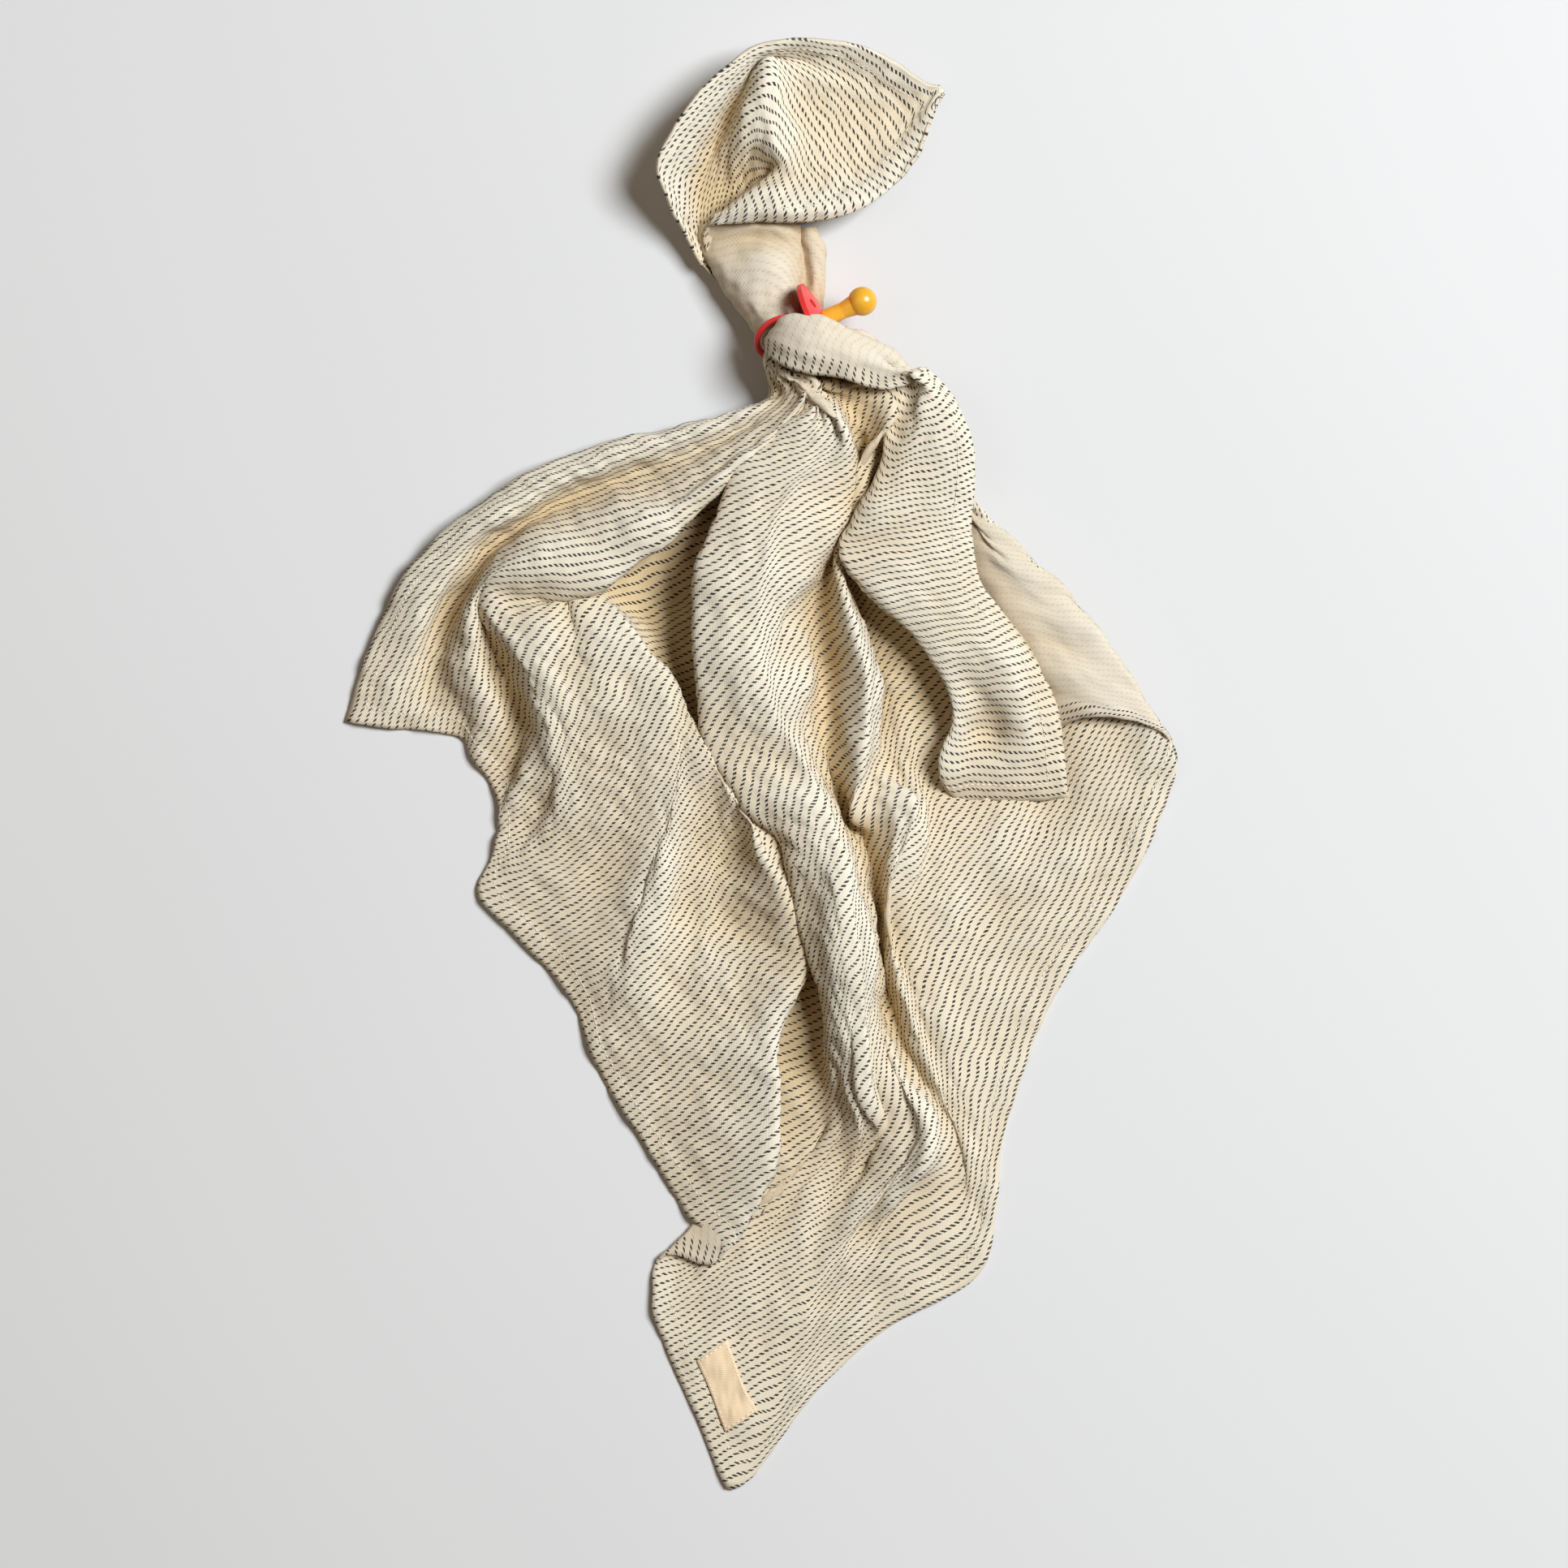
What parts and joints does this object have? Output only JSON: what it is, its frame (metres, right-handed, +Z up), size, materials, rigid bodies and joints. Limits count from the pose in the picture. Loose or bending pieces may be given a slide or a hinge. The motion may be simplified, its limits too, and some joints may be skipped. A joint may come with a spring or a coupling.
{
  "type": "baby comfort cloth with soother",
  "caption": "Square striped muslin cloth gathered through the ring handle of a baby soother, lying in loose folds with one corner opened like a flower.",
  "frame": {"origin": "on the floor under the middle of the whole object", "axes": "+Z up, +Y along the lying cloth's longest diagonal from the label corner to the opened corner, +X to the right seen from above"},
  "size_m": [0.4284, 0.7476, 0.046],
  "materials": {
    "muslin": "crinkled cotton muslin, woven dark stripes",
    "seam_thread": "matte cotton thread",
    "label_tape": "matte woven tape",
    "red_plastic": "satin moulded",
    "teat_rubber": "smooth translucent natural rubber"
  },
  "bodies": {
    "cloth": {"muslin_cloth": "muslin", "hem_thread": "seam_thread", "woven_label": "label_tape", "label_stitching": "seam_thread", "ring_handle": "red_plastic"},
    "soother": {"plug_knob": "red_plastic", "soother_shield": "red_plastic", "teat": "teat_rubber"}
  },
  "joints": [
    {"name": "ring_hinge", "type": "hinge", "parent": "cloth", "child": "soother", "pos_m": [0.0251, 0.2259, 0.0234], "axis": [-0.4005, 0.5525, 0.7309], "range_deg": [-14, 14]}
  ]
}
